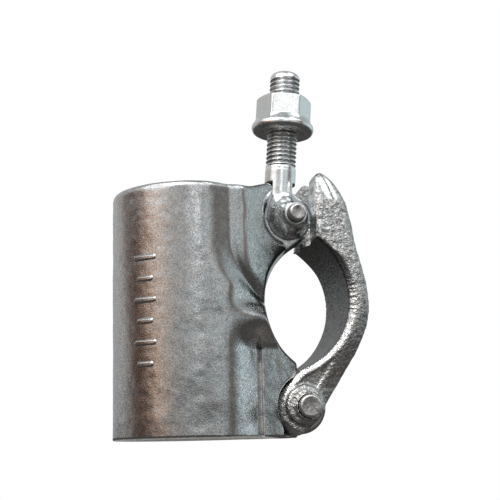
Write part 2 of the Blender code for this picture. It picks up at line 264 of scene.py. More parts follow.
def make_mesh(name, points, faces, material, wear_and_highlight=0.0, shade_and_grime=0.0, sharp=None):
    """Smooth mesh with its two point masks; edges over sharp degrees stay hard."""
    mesh = bpy.data.meshes.new(name)
    mesh.from_pydata(to_row(points).tolist(), [], [list(map(int, face)) for face in faces])
    mesh.validate()
    mesh.shade_smooth()
    if sharp:
        mesh.set_sharp_from_angle(angle=math.radians(sharp))
    mesh.materials.append(material)
    # the point masks: wear with painted highlight, grime with painted shade
    for mask, values in (("wear_and_highlight", wear_and_highlight), ("shade_and_grime", shade_and_grime)):
        layer = mesh.attributes.new(mask, "FLOAT", "POINT")
        values = np.broadcast_to(values, len(points))
        layer.data.foreach_set("value", np.ascontiguousarray(values, dtype=np.float32))
    return link(name, mesh)


# ------------------------------------------------------------------ materials
class Graph:
    """Short way to wire the shader nodes of a material or world."""

    def __init__(self, owner):
        owner.use_nodes = True
        self.tree = owner.node_tree
        self.tree.nodes.clear()

    def node(self, kind, **settings):
        node = self.tree.nodes.new(kind)
        for key, value in settings.items():
            setattr(node, key, value)
        return node

    def put(self, socket, value):
        """Link or set an input."""
        if isinstance(value, bpy.types.NodeSocket):
            self.tree.links.new(value, socket)
        elif isinstance(value, (tuple, list)) and len(value) == 3 and socket.type == "RGBA":
            socket.default_value = (*value, 1.0)
        else:
            socket.default_value = value

    def math(self, op, a, b, clamp=False):
        node = self.node("ShaderNodeMath", operation=op, use_clamp=clamp)
        self.put(node.inputs[0], a)
        self.put(node.inputs[1], b)
        return node.outputs[0]

    def noise(self, vector, scale, detail=4.0, rough=0.55, distortion=0.0):
        node = self.node("ShaderNodeTexNoise")
        for socket, value in (("Vector", vector), ("Scale", scale), ("Detail", detail),
                              ("Roughness", rough), ("Distortion", distortion)):
            self.put(node.inputs[socket], value)
        return node.outputs["Fac"]

    def mix(self, fac, a, b):
        node = self.node("ShaderNodeMix", data_type="RGBA")
        self.put(node.inputs[0], fac)
        self.put(node.inputs[6], a)
        self.put(node.inputs[7], b)
        return node.outputs[2]

    def mix_shader(self, fac, a, b):
        node = self.node("ShaderNodeMixShader")
        for socket, value in zip(node.inputs, (fac, a, b)):
            self.put(socket, value)
        return node.outputs[0]

    def remap(self, value, low, high, to_low=0.0, to_high=1.0):
        node = self.node("ShaderNodeMapRange", clamp=True)
        for socket, v in zip(node.inputs[:5], (value, low, high, to_low, to_high)):
            self.put(socket, v)
        return node.outputs[0]

    def window(self, value, start, full, fade, end):
        """Rises from start to full, holds 1, and falls from fade to end."""
        return self.math("MULTIPLY", self.remap(value, start, full),
                         self.remap(value, fade, end, 1.0, 0.0))

    def attribute(self, name):
        return self.node("ShaderNodeAttribute", attribute_name=name).outputs["Fac"]

    def bump(self, strength, distance, height):
        node = self.node("ShaderNodeBump")
        self.put(node.inputs["Strength"], strength)
        self.put(node.inputs["Distance"], distance)
        self.put(node.inputs["Height"], height)
        return node


def start_material(name):
    mat = bpy.data.materials.new(name)
    g = Graph(mat)
    out = g.node("ShaderNodeOutputMaterial")
    bsdf = g.node("ShaderNodeBsdfPrincipled")
    coords = g.node("ShaderNodeTexCoord").outputs["Object"]
    return mat, g, out, bsdf, coords


# tones the point masks mix in: worn metal together with painted highlight, grime together with
# painted shade
WORN_AND_LIT = (0.86, 0.87, 0.87)
GRIMY_AND_SHADED = (0.085, 0.085, 0.092)


def zinc(name, cool, warm, dark, rough_low, rough_high, grain, grain_bump, pit_bump, speck, edge):
    """Zinc-plated steel: mottled tone, crystalline grain, small pits, brighter worn edges.

    grain is the grain's size in mm, speck the strength of its dark specks and edge that of
    the wear. The point masks 'wear_and_highlight' and 'shade_and_grime' come from the geometry;
    besides wear and grime they carry painted highlights and painted shade."""
    mat, g, out, bsdf, coords = start_material(name)
    broad = g.noise(coords, scale=60.0, detail=3.0, rough=0.6)
    patch = g.noise(coords, scale=190.0, detail=4.0, rough=0.62, distortion=0.4)
    fine = g.noise(coords, scale=1000.0 / grain, detail=3.0, rough=0.65, distortion=0.3)
    tiny = g.noise(coords, scale=2600.0 / grain, detail=2.0, rough=0.5)
    crystals = g.node("ShaderNodeTexVoronoi", feature="F1")
    g.put(crystals.inputs["Vector"], coords)
    g.put(crystals.inputs["Scale"], 620.0 / grain)
    flake = g.node("ShaderNodeRGBToBW")
    g.put(flake.inputs[0], crystals.outputs["Color"])

    # mottled tone with dark specks and flakes
    tone = g.mix(g.remap(patch, 0.36, 0.66), cool, warm)
    tone = g.mix(g.remap(broad, 0.42, 0.62, to_high=0.45), tone, cool)
    specks = g.math("MULTIPLY", g.remap(fine, 0.40, 0.58, 1.0, 0.0), speck)
    tone = g.mix(specks, tone, dark)
    tone = g.mix(g.math("MULTIPLY", g.remap(flake.outputs[0], 0.25, 0.75), 0.22), tone, dark)

    # wear on convex edges, darker in hollows, then the masks: wear with painted highlight, grime
    # with painted shade
    pointiness = g.node("ShaderNodeNewGeometry").outputs["Pointiness"]
    worn = g.remap(pointiness, 0.515, 0.60, to_high=edge)
    hollow_dark = g.remap(pointiness, 0.485, 0.42, to_high=0.75)
    shade_and_grime = g.attribute("shade_and_grime")
    wear_and_highlight = g.attribute("wear_and_highlight")
    tone = g.mix(g.math("MULTIPLY", hollow_dark, 0.8), tone, tuple(0.35 * c for c in dark))
    tone = g.mix(g.math("MAXIMUM", worn, wear_and_highlight), tone, WORN_AND_LIT)
    tone = g.mix(shade_and_grime, tone, GRIMY_AND_SHADED)

    # rougher in the grain and under the grime and painted shade, smoother under the wear and
    # painted highlight
    rough = g.remap(g.noise(coords, scale=420.0, detail=3.0, rough=0.6),
                    0.35, 0.65, rough_low, rough_high)
    in_grain = g.math("MULTIPLY", g.remap(fine, 0.4, 0.6, 1.0, 0.0), 0.10)
    rough = g.math("ADD", rough, in_grain)
    rubbed = g.math("MULTIPLY", g.math("MAXIMUM", worn, wear_and_highlight), 0.14)
    rough = g.math("SUBTRACT", rough, rubbed)
    rough = g.math("ADD", rough, g.math("MULTIPLY", shade_and_grime, 0.12), clamp=True)
    g.put(bsdf.inputs["Base Color"], tone)
    g.put(bsdf.inputs["Metallic"], 1.0)
    g.put(bsdf.inputs["Roughness"], rough)

    # the relief fades where the surface shines
    calm = g.math("SUBTRACT", 1.0, g.math("MULTIPLY", wear_and_highlight, 0.8))
    relief = g.bump(g.math("MULTIPLY", calm, grain_bump), distance=0.0004, height=fine)
    pits = g.bump(g.math("MULTIPLY", calm, pit_bump), distance=0.0003, height=tiny)
    g.put(pits.inputs["Normal"], relief.outputs[0])
    g.put(bsdf.inputs["Normal"], pits.outputs[0])
    g.put(out.inputs[0], bsdf.outputs[0])
    return mat


FORGED = zinc("forged_zinc", cool=(0.56, 0.585, 0.60), warm=(0.60, 0.575, 0.55),
              dark=(0.27, 0.272, 0.275), rough_low=0.12, rough_high=0.20,
              grain=0.55, grain_bump=0.12, pit_bump=0.07, speck=0.72, edge=0.35)
COARSE = zinc("coarse_zinc", cool=(0.60, 0.61, 0.61), warm=(0.63, 0.61, 0.58),
              dark=(0.25, 0.25, 0.25), rough_low=0.18, rough_high=0.34,
              grain=1.05, grain_bump=1.25, pit_bump=0.40, speck=0.85, edge=0.70)
BRIGHT = zinc("bright_zinc", cool=(0.72, 0.75, 0.765), warm=(0.74, 0.73, 0.71),
              dark=(0.50, 0.51, 0.52), rough_low=0.12, rough_high=0.22,
              grain=0.45, grain_bump=0.05, pit_bump=0.04, speck=0.25, edge=0.25)
PIN = zinc("pin_steel", cool=(0.50, 0.50, 0.49), warm=(0.52, 0.49, 0.46),
           dark=(0.26, 0.25, 0.24), rough_low=0.26, rough_high=0.40,
           grain=0.6, grain_bump=0.35, pit_bump=0.20, speck=0.55, edge=0.55)

# ------------------------------------------------------------------ body forging
# lug outlines, X and Z
UPPER_LUG = ([(16.0, -6.0), (16.0, 38.6), (22.0, 39.6), (25.0, 40.6), (32.8, 40.6), (36.9, 39.6)]
             + arc(BOLT_PIN, 9.2, 52, -62, 20) + [(34.0, 15.0), (30.0, 4.0)])
LOWER_LUG = ([(16.0, 6.0), (16.0, -51.0), (31.5, -51.0), (33.6, -47.7)]
             + arc(CAP_PIN, 9.3, -106, 62, 26) + [(37.2, -26.6), (34.6, -22.2), (30.0, -8.0)])


def upper_neck(x, abs_y, z, barrel):
    """Slanted face with a soft hollow beside it, curling out to the seat at its foot."""
    t = np.clip((19.0 - z) / 23.0, 0.0, 0.965)
    sweep = np.radians(66.0) * (1.0 - np.sqrt(1.0 - t * t))
    cos, sin = np.cos(sweep), np.sin(sweep)
    swept_x, swept_y = x * cos - abs_y * sin, x * sin + abs_y * cos
    face = x * 0.6157 + abs_y * 0.788 - 27.27 + 1.0 * ease((10.0 - z) / 12.0)
    face = smax(face, x - 32.5, 2.0)
    hollow = 15.0 - distance(swept_x, swept_y, (15.58, 38.57))
    soft = 5.5 - 4.5 * ease((swept_x - 8.5) / 4.0)
    return smax(smax(np.minimum(barrel, 14.0 - swept_x), hollow, soft), face, 0.8)


def lower_neck(x, abs_y, z, barrel):
    """A rounded scoop on each side of a low ridge."""
    face = (x + abs_y - 37.8) * COS45
    ridge = np.maximum(np.maximum(x * 0.5 + abs_y * 0.866 - 25.9, 20.2 - x),
                       x - 28.5 - 6.0 * ease((z + 36.0) / 6.0))
    return smin(smax(np.minimum(barrel, 16.0 - x), face + 0.8, 2.6), ridge, 0.4)


def body_field(x, y, z):
    abs_y = np.abs(y)
    radius = np.sqrt(x * x + y * y)
    from_bolt_pin = distance(x, z, BOLT_PIN)
    from_cap_pin = distance(x, z, CAP_PIN)
    # the barrel with its neck, which changes from lower to waist to upper
    barrel = radius - SLEEVE_R
    waist = smax(np.minimum(barrel, 4.5 - x),
                 np.maximum(distance(x, abs_y, (-7.28, -36.3)) - 65.0, x - 33.0), 1.0)
    d = waist + (upper_neck(x, abs_y, z, barrel) - waist) * ease((z + 8.5) / 6.5)
    d = d + (lower_neck(x, abs_y, z, barrel) - d_waist_guard(waist)) * 0.0 if False else (
        d + (lower_neck(x, abs_y, z, barrel) - waist) * ease((-8.0 - z) / 10.5))
    top = 37.6 + 3.0 * ease((x - 15.0) / 11.0)
    d = smax(d, z - top, 2.4)
    d = smax(d, BODY_FOOT - z, 0.6)
    # pockets beside the lugs, for the ball end and the ears
    ball = from_bolt_pin - 9.7 - 0.224 * np.maximum(abs_y - LUG_HALF, 0.0)
    neck = smax(26.5 - x, 31.5 - z, 2.0)
    ear = from_cap_pin - 10.75
    pocket = np.maximum(np.minimum(np.minimum(ball, neck), ear), LUG_HALF - abs_y)
    d = smax(d, -pocket, 0.9)
    lug = np.minimum(outline_distance(x, z, UPPER_LUG), outline_distance(x, z, LOWER_LUG))
    lug = smax(lug, abs_y - LUG_HALF, 1.3)
    d = smin(d, lug, 1.0)
    # the seat flares towards its two ends
    seat = 24.5 + 0.22 * (np.sqrt(abs_y * abs_y + 9.0) - 3.0) - distance(x, z, SEAT)
    d = smax(d, seat, 1.0)
    d = smax(d, BORE_R - radius, 0.5)
    d = smax(d, BODY_FOOT - z, 0.4)
    holes = np.minimum(from_bolt_pin - 3.2, from_cap_pin - 4.2)
    return smax(d, -holes, 0.5)


def build_body():
    points, faces = surface_net(body_field, low=(-29.0, -29.0, -49.2), high=(48.0, 29.0, 42.0),
                                step=0.70)
    normal = normals(body_field, points)
    amount = roughness(points, (0.075, 7.0, 3), (0.05, 2.6, 4), (0.03, 1.4, 5))
    x, y, z = points.T
    inner = ease((26.0 - np.hypot(x, y)) / 1.0)
    near_pin = np.minimum(distance(x, z, BOLT_PIN), distance(x, z, CAP_PIN))
    amount *= (1 - 0.7 * inner) * ease((near_pin - 4.2) / 2.0)
    lug_face = (np.abs(np.abs(y) - LUG_HALF) < 0.5) & (near_pin < 11)
    amount[lug_face] *= 0.2
    # the foot doesn't grow past the CAD's own outline
    amount = np.where((z < -47.6) & (normal[:, 2] < -0.5), -0.02, amount)
    points = points + normal * amount[:, None]
    x, z = points[:, 0], points[:, 2]
    abs_y = np.abs(points[:, 1])
    # painted highlight along the crest where the slanted face meets the hollow, and along the low
    # ridge
    crest = np.exp(-(distance(x, abs_y, (14.0, 23.6)) / 0.75) ** 2) * ease((z - 12.0) / 5.0)
    crest += (0.8 * np.exp(-((x - 20.2) / 0.45) ** 2) * ease((-21.0 - z) / 3.0)
              * (abs_y > 14.0))
    # the inside of the bore is darkened
    return make_mesh("body_forging", points, faces, FORGED,
                     wear_and_highlight=np.clip(crest, 0, 1), shade_and_grime=0.30 * inner)


# ------------------------------------------------------------------ cap forging
SLOT_FOOT = 21.2      # Z of the fork's slot
FORK_FACE = 41.4      # X of the prongs' inner face
# back of the cap from the prongs' tips down to the ear, X and Z
OUTER_LINE = smooth_line([
    (43.0, 44.8), (44.6, 45.4), (47.2, 43.6), (49.6, 40.2), (51.6, 36.6), (53.2, 32.6),
    (54.5, 27.0), (55.6, 20.5), (57.2, 14.0), (58.8, 7.8), (59.9, 1.6), (60.2, -3.4),
    (59.6, -8.0), (58.2, -12.4), (56.2, -17.2), (53.5, -22.4), (50.6, -27.4),
    (47.4, -32.6), (44.3, -37.4), (41.3, -41.8), (38.4, -44.9)], per=3)
RING_TOP = math.degrees(math.atan2(SLOT_FOOT - RING[1], 41.0 - RING[0]))
EAR_ARC = arc(CAP_PIN, 10.2, -105, -222, 26)
INNER_ARC = arc(RING, RING_R, -70.0, RING_TOP, 44)
CAP_OUTLINE = ([(FORK_FACE, SLOT_FOOT), (FORK_FACE, 39.6), (41.9, 43.0)]
               + OUTER_LINE + EAR_ARC + INNER_ARC)
RIM_LINE = EAR_ARC[2:] + INNER_ARC


def cap_field(x, y, z):
    abs_y = np.abs(y)
    outline = outline_distance(x, z, CAP_OUTLINE)
    half = 16.4 - 4.4 * ease((-12.0 - z) / 20.0)
    side = abs_y - half
    side = side + 0.020 * np.maximum(z - 33.0, 0.0) ** 2
    d = smax(outline, side, 1.4)
    fork_edge = np.where(z > 22.0, (1.0 - (x - FORK_FACE) + side) * COS45, -5.0)
    d = smax(d, fork_edge, 0.5)
    rim = line_distance(x, z, RIM_LINE)
    outer = line_distance(x, z, OUTER_LINE)
    angle = np.degrees(np.arctan2(z - RING[1], x - RING[0]))
    # chamfered rim along the ring's mouth, sheared where the flash was trimmed
    width = 0.5 + 1.5 * ease((19.0 - z) / 7.0) - 0.5 * ease((-26.0 - z) / 8.0)
    band = ease((angle + 12.0) / 4.0) * ease((13.0 - angle) / 4.0)
    width = width + band * (0.30 * np.sin(angle * 2.05 + 1.3 * np.sin(angle * 0.83))
                            + 0.20 * np.sin(angle * 1.27 + 0.8))
    d = smax(d, (side + width - rim) * COS45, 0.6)
    # draft face along the back of the cap
    low = ease((8.0 - z) / 22.0) * ease((z + 42.0) / 8.0)
    depth = 1.2 + 1.0 * low
    slope = 0.85 - 0.42 * low
    d = smax(d, (side + depth - outer * slope) / np.sqrt(1 + slope * slope), 0.7)
    # shallow recess of the ear's face inside its rim
    recess = ease((rim - 1.9) / 1.2) * ease((outer - 5.4) / 1.4) * ease((-16.0 - z) / 8.0)
    d = np.maximum(d, side + 0.75 * recess)
    # slot for the bolt
    slot = smax(abs_y - 6.35, SLOT_FOOT - z, 4.0)
    d = smax(d, -slot, 0.9)
    # pin boss and collar on each ear
    from_pin = distance(x, z, CAP_PIN)
    from_boss = distance(x, z, (CAP_PIN[0] - 0.8, CAP_PIN[1] + 0.5))
    boss = smax(from_boss - 7.2 + 0.25 * np.maximum(abs_y - 11.0, 0.0), abs_y - 13.8, 1.2)
    boss = smax(boss, outline - 0.2, 0.8)
    collar = smax(from_pin - 5.2 + 0.3 * np.maximum(abs_y - 13.0, 0.0), abs_y - 16.0, 0.8)
    d = smin(d, boss, 1.1)
    d = smin(d, collar, 0.8)
    # gap for the body's lug, and the pin's hole
    gap = np.maximum(from_pin - 13.2, abs_y - 4.0)
    d = smax(d, -gap, 0.9)
    d = smax(d, 4.2 - from_pin, 0.4)
    # the prongs' inner corners are eased where the ball end turns past them
    reach = 8.45 * np.sqrt(np.maximum(1.0 - (abs_y / EYE_HALF) ** 2, 0.0)) + 0.35
    return smax(d, reach - distance(x, z, BOLT_PIN), 0.4)


def build_cap():
    points, faces = surface_net(cap_field, low=(25.0, -18.0, -49.2), high=(62.0, 18.0, 47.0),
                                step=0.46)
    normal = normals(cap_field, points)
    x, abs_y, z = points[:, 0], np.abs(points[:, 1]), points[:, 2]
    from_pin = distance(x, z, CAP_PIN)
    rim = line_distance(x, z, RIM_LINE)
    inner = ease((RING_R + 0.45 - distance(x, z, RING)) / 0.4) * (from_pin > 10.6)
    slot_face = ease((6.9 - abs_y) / 0.5) * (z > 20.0)
    # two facets on the prongs' tips, ground bright and given a painted highlight, with a thin
    # line of painted shade between them
    across = x - (41.9 + 0.36 * np.maximum(44.0 - z, 0.0))
    strips = (ease((across - 0.1) / 0.5) * ease((2.5 - across) / 0.4)
              + ease((across - 2.9) / 0.4) * ease((4.6 - across) / 0.5))
    facet = strips * ease((z - 33.5) / 2.5) * (abs_y > 9.0)
    seam_shade = np.exp(-((across - 2.7) / 0.28) ** 2) * ease((z - 33.0) / 3.0) * (abs_y > 9.0)
    prong_side = ease((42.0 - x) / 0.5) * (z > 22.0)
    tilt = np.abs(normal[:, 1])
    rim_face = ease((2.6 - rim) / 0.6) * ease((tilt - 0.25) / 0.2) * ease((0.93 - tilt) / 0.1)
    smooth_area = np.clip(inner + 0.6 * slot_face + facet + 0.8 * prong_side + 0.7 * rim_face,
                          0, 1)
    amount = roughness(points, (0.12, 1.25, 11), (0.05, 2.3, 12), (0.03, 6.0, 13))
    amount *= 1 - 0.85 * smooth_area
    hinge = (abs_y < 5.0) & (from_pin < 15.0)
    amount[hinge] *= 0.1
    # the masks follow the rough surface, the areas above the even one
    points = points + normal * amount[:, None]
    # painted highlight on the lower rim chamfer, the prongs' faces towards -X and the tip facets;
    # painted shade on the upper rim chamfer and the seam; the ring's mouth is darker below the
    # slot
    lower_rim_highlight = rim_face * ease((6.0 - z) / 8.0)
    wear_and_highlight = facet + 0.35 * lower_rim_highlight + 0.8 * prong_side
    shade_and_grime = (0.80 * inner * ease((30.0 - z) / 4.0) + 0.75 * rim_face * ease((z - 2.0) / 6.0)
             + 0.8 * seam_shade)
    return make_mesh("cap_forging", points, faces, COARSE,
                     wear_and_highlight=np.clip(wear_and_highlight, 0, 1), shade_and_grime=np.clip(shade_and_grime, 0, 1))


def trimmed_burr():
    """The torn sliver of flash left at the foot of each prong's inner edge."""
    points, faces = [], []
    rng = np.random.RandomState(9)
    rows = 22
    for side in (-1, 1):
        start = len(points)
        for i in range(rows + 1):
            t = i / rows
            z = 19.6 + 8.6 * t
            swell = math.sin(math.pi * min(t * 1.25 + 0.12, 1.0)) ** 0.8
            reach = 3.1 * swell * (0.35 + 0.65 * rng.rand()) + 0.05
            lift = 0.35 * (rng.rand() - 0.5)
            thick = 0.42 * (1 - 0.5 * t)
            root = 42.0 if z > 21.6 else 42.0 - (21.6 - z) * 0.4
            points += [(root, side * (6.2 - thick + 0.3), z),
                       (root, side * (7.4 + thick), z),
                       (root - 0.9 - 0.5 * reach, side * (6.9 + 0.6 * thick + lift),
                        z - 0.2 * reach),
                       (root - 0.9 - reach, side * (6.55 + 1.3 * lift), z - 0.55 * reach)]
        strip = []
        for i in range(rows):
            for k in range(4):
                a, b = start + 4 * i + k, start + 4 * i + (k + 1) % 4
                strip.append([a, b, b + 4, a + 4])
        strip.append([start + k for k in (3, 2, 1, 0)])
        strip.append([start + 4 * rows + k for k in range(4)])
        faces += [face if side < 0 else face[::-1] for face in strip]
    obj = make_mesh("cap_burr", points, faces, COARSE, wear_and_highlight=0.5, sharp=25)
    bevel = obj.modifiers.new("soft", "BEVEL")
    bevel.width = 0.00008
    bevel.segments = 2
    return obj


# ------------------------------------------------------------------ swing bolt and nut
THREAD_PITCH = 1.65
THREAD_R = 5.55
TIP_START = 53.35     # height where the shank's tip starts to round
TIP_ROUND = 2.6
NUT_TOP = 46.0
NUT_FLAT = 8.9        # from the axis to a flat
NUT_TURN = math.radians(-8.6)
# flange of the nut, radius and height
NUT_RIM = smooth_line([(9.0, 32.1), (10.2, 32.3), (11.0, 33.0), (11.4, 34.1), (11.35, 35.1),
                       (10.9, 35.9), (10.1, 36.8), (9.2, 37.7)], per=3)
NUT_PROFILE = [(0.0, 33.5), (5.6, 33.5), (7.4, 32.5)] + NUT_RIM + [(0.0, 38.4)]


def from_axis(points, offset=0.0):
    """Bolt's own frame (pin at the origin, shank along +Z) to the design frame."""
    cos, sin = math.cos(LEAN), math.sin(LEAN)
    x, z = points[:, 0] + offset, points[:, 2]
    return np.stack([BOLT_PIN[0] + x * cos + z * sin, points[:, 1],
                     BOLT_PIN[1] - x * sin + z * cos], axis=1)


def eye_field(x, y, z):
    abs_y = np.abs(y)
    ball = (np.sqrt(((x + 0.3) / 8.3) ** 2 + (y / EYE_HALF) ** 2 + (z / 8.4) ** 2) - 1.0) * 8.3
    neck = np.maximum(distance(x, y, (SHANK_X, 0.0)) - 5.6, -z)
    d = smin(ball, neck, 2.4)
    d = smax(d, z - 18.6, 0.9)
    d = smax(d, abs_y - 11.2, 0.8)
    from_pin = np.sqrt(x * x + z * z)
    boss = smax(from_pin - 4.2, abs_y - 13.2, 0.8)
    d = smin(d, boss, 0.7)
    slot = np.maximum(abs_y - 3.9, z - 13.0)
    d = smax(d, -slot, 0.5)
    return smax(d, 3.15 - from_pin, 0.4)


def build_eye():
    points, faces = surface_net(eye_field, low=(-11.0, -14.0, -9.4), high=(9.4, 14.0, 19.6),
                                step=0.30)
    turned = roughness(points, (0.02, 2.2, 31), (0.012, 0.9, 32))
    points = points + normals(eye_field, points) * turned[:, None]
    # painted shade on the faces inside the slot
    in_slot = ease((4.3 - np.abs(points[:, 1])) / 0.3) * (points[:, 2] < 13.4)
    return make_mesh("bolt_eye", from_axis(points), faces, BRIGHT, shade_and_grime=0.85 * in_slot)


def build_shank():
    """The threaded shank as one closed turned surface, from inside the neck to its tip."""
    cols = 80
    tip_angles = np.radians(np.linspace(0, 88, 14))
    heights = np.concatenate([np.arange(16.8, TIP_START, 0.125),
                              TIP_START + TIP_ROUND * np.sin(tip_angles)])
    theta = np.arange(cols) * 2 * np.pi / cols
    height, turn = np.meshgrid(heights, theta, indexing="ij")
    phase = np.mod(height / THREAD_PITCH - turn / (2 * np.pi), 1.0)
    cut = ease((np.abs(2 * phase - 1) - 0.06) / 0.86)
    run = ease((height - 18.9) / 1.3) * ease((53.9 - height) / 1.4)
    tip = THREAD_R - TIP_ROUND + np.sqrt(
        np.maximum(TIP_ROUND ** 2 - np.maximum(height - TIP_START, 0) ** 2, 0))
    radius = np.minimum(THREAD_R - 0.54 * cut * run, tip)
    points = np.stack([radius * np.cos(turn), radius * np.sin(turn), height], axis=-1)
    points = points.reshape(-1, 3)
    points[:, :2] *= (1 + roughness(points, (0.015, 0.9, 21)) / 5.5)[:, None]
    index = np.arange(len(heights) * cols).reshape(-1, cols)
    following = np.roll(index, -1, axis=1)
    faces = np.stack([index[:-1], following[:-1], following[1:], index[1:]], axis=-1)
    faces = faces.reshape(-1, 4).tolist()
    # the end is closed by rings that dish slightly where it was struck
    points = list(map(tuple, points))
    last = index[-1].tolist()
    end_r = float(radius[-1].mean())
    for k in range(1, 6):
        ring_r = end_r * (1 - k / 6)
        z = float(heights[-1] + 0.03 - 0.35 * ease((k - 1) / 4.0))
        ring = list(range(len(points), len(points) + cols))
        points += [(ring_r * math.cos(a), ring_r * math.sin(a), z) for a in theta]
        for i in range(cols):
            j = (i + 1) % cols
            faces.append([last[i], last[j], ring[j], ring[i]])
        last = ring
    faces.append(last)
    faces.append(index[0].tolist()[::-1])
    points = np.array(points, dtype=float)
    # painted highlight on the thread's crests, painted shade in its roots
    rho = np.hypot(points[:, 0], points[:, 1])
    root = ease((5.27 - rho) / 0.24) * (points[:, 2] < 52.6)
    return make_mesh("bolt_shank", from_axis(points, SHANK_X), faces, BRIGHT, sharp=60,
                     wear_and_highlight=ease((rho - 5.40) / 0.12) * 0.5, shade_and_grime=0.55 * root)


def nut_field(x, y, z):
    rho = np.sqrt(x * x + y * y)
    flange = outline_distance(rho, z, NUT_PROFILE)
    angles = [NUT_TURN + k * math.pi / 3 for k in range(3)]
    flats = [np.abs(x * math.sin(a) - y * math.cos(a)) - NUT_FLAT for a in angles]
    d = smax(smax(flats[0], flats[1], 0.5), flats[2], 0.5)
    d = smax(d, (rho - NUT_FLAT + 0.15) * 0.5 + (z - NUT_TOP) * 0.866, 0.5)
    d = smax(d, z - NUT_TOP, 0.5)
    d = np.maximum(d, 36.0 - z)
    d = smin(flange, d, 1.0)
    # bore, countersunk at both ends
    bore = smin(rho - 5.75, (rho - 6.6) * 0.7071 - (z - NUT_TOP) * 0.7071, 0.2)
    bore = np.minimum(bore, (rho - 6.3) * 0.7071 + (z - 34.2) * 0.7071)
    return smax(d, -bore, 0.35)


def build_nut():
    points, faces = surface_net(nut_field, low=(-12.4, -12.4, 30.0), high=(12.4, 12.4, 46.8),
                                step=0.30)
    amount = roughness(points, (0.03, 3.0, 41), (0.02, 1.2, 42))
    points = points + normals(nut_field, points) * amount[:, None]
    rho = np.hypot(points[:, 0], points[:, 1])
    # painted shade in the bore and under the flange
    underside = ease((34.2 - points[:, 2]) / 0.8) * ease((rho - 6.1) / 0.3)
    return make_mesh("nut_flanged", from_axis(points, SHANK_X), faces, BRIGHT,
                     shade_and_grime=0.7 * ease((6.1 - rho) / 0.3) + 0.30 * underside)


# ------------------------------------------------------------------ rivets
def rivet(name, centre, radius, half, chamfer, seed):
    """A peened pin: turned along Y, with a dished and hammered face at each end."""
    cols = 72
    # radius and Y, from the middle of the +Y face to the side
    middle = (0.0, half - 0.25)
    face_line = [(radius * 0.35, half - 0.18), (radius - chamfer - 0.35, half - 0.02),
                 (radius - chamfer, half), (radius - chamfer * 0.45, half - chamfer * 0.22),
                 (radius, half - chamfer), (radius, half - chamfer - 0.5)]
    end = [middle] + smooth_line(face_line, per=4)
    straight = half - chamfer - 1.2
    profile = (end + [(radius, y) for y in np.linspace(straight, -straight, 18)]
               + [(r, -y) for r, y in reversed(end)])
    points, faces, rings = [], [], []
    for r, y in profile:
        count = 1 if r < 1e-9 else cols
        rings.append(list(range(len(points), len(points) + count)))
        turns = [2 * math.pi * k / cols for k in range(count)]
        points += [(r * math.cos(a), y, r * math.sin(a)) for a in turns]
    for a, b in zip(rings[:-1], rings[1:]):
        for k in range(cols):
            j = (k + 1) % cols
            if len(a) == 1:
                faces.append([a[0], b[j], b[k]])
            elif len(b) == 1:
                faces.append([a[k], a[j], b[0]])
            else:
                faces.append([a[k], a[j], b[j], b[k]])
    points = np.array(points)
    y = points[:, 1]
    ends = ease((np.abs(y) - (half - 1.0)) / 0.6)
    rho = np.hypot(points[:, 0], points[:, 2])
    edge = ease((rho - radius + chamfer + 0.2) / 0.3)
    points[:, 1] += np.sign(y) * ends * roughness(points, (0.10, 1.1, seed),
                                                  (0.12, 2.3, seed + 1))
    points += (centre[0], 0.0, centre[1])
    # the masks mark each struck end, brighter at its rim and darker in its middle
    return make_mesh(name, points, faces, PIN, sharp=50,
                     wear_and_highlight=0.35 * ends * edge, shade_and_grime=0.15 * ends * (1 - edge))


# ------------------------------------------------------------------ raised bars on the sleeve
def sleeve_bars():
    """Six plain raised bars up the side of the sleeve towards -X and -Y."""
    points, faces = [], []
    rows, cols = 37, 15
    half_wide, height, margin = 0.75, 0.42, 0.35
    for k in range(6):
        centre_z = -23.5 + 7.1 * k
        half_long = 4.4 if k % 2 else 3.2
        top = len(points) + 2 * np.arange(rows * cols).reshape(rows, cols)
        base = top + 1
        for i, j in product(range(rows), range(cols)):
            along = (-1 + 2 * i / (rows - 1)) * (half_long + margin)
            across = (-1 + 2 * j / (cols - 1)) * (half_wide + margin)
            past_end = max(abs(along) - (half_long - half_wide), 0.0)
            outside = math.hypot(past_end, across) - half_wide
            lift = height * (1 - float(ease((outside + 0.30) / 0.55)))
            phi = math.radians(-44.5) + along / SLEEVE_R
            for r in (SLEEVE_R + lift - 0.05 * (outside > 0.2), SLEEVE_R - 0.6):
                points.append((r * math.sin(phi), -r * math.cos(phi), centre_z + across))
        for i, j in product(range(rows - 1), range(cols - 1)):
            faces.append([top[i, j], top[i + 1, j], top[i + 1, j + 1], top[i, j + 1]])
            faces.append([base[i, j + 1], base[i + 1, j + 1], base[i + 1, j], base[i, j]])
        for i in range(rows - 1):
            faces.append([base[i, 0], base[i + 1, 0], top[i + 1, 0], top[i, 0]])
            faces.append([top[i, -1], top[i + 1, -1], base[i + 1, -1], base[i, -1]])
        for j in range(cols - 1):
            faces.append([base[0, j + 1], base[0, j], top[0, j], top[0, j + 1]])
            faces.append([top[-1, j + 1], top[-1, j], base[-1, j], base[-1, j + 1]])
    return make_mesh("sleeve_bars", points, faces, FORGED)


# ------------------------------------------------------------------ pieces in the frame
body = build_body()
cap = build_cap()
burr = trimmed_burr()
eye = build_eye()
shank = build_shank()
nut = build_nut()
pin_top = rivet("pin_upper", BOLT_PIN, BOLT_PIN_R, half=16.4, chamfer=0.7, seed=51)
pin_low = rivet("pin_lower", CAP_PIN, CAP_PIN_R, half=17.6, chamfer=0.8, seed=61)
bars = sleeve_bars()

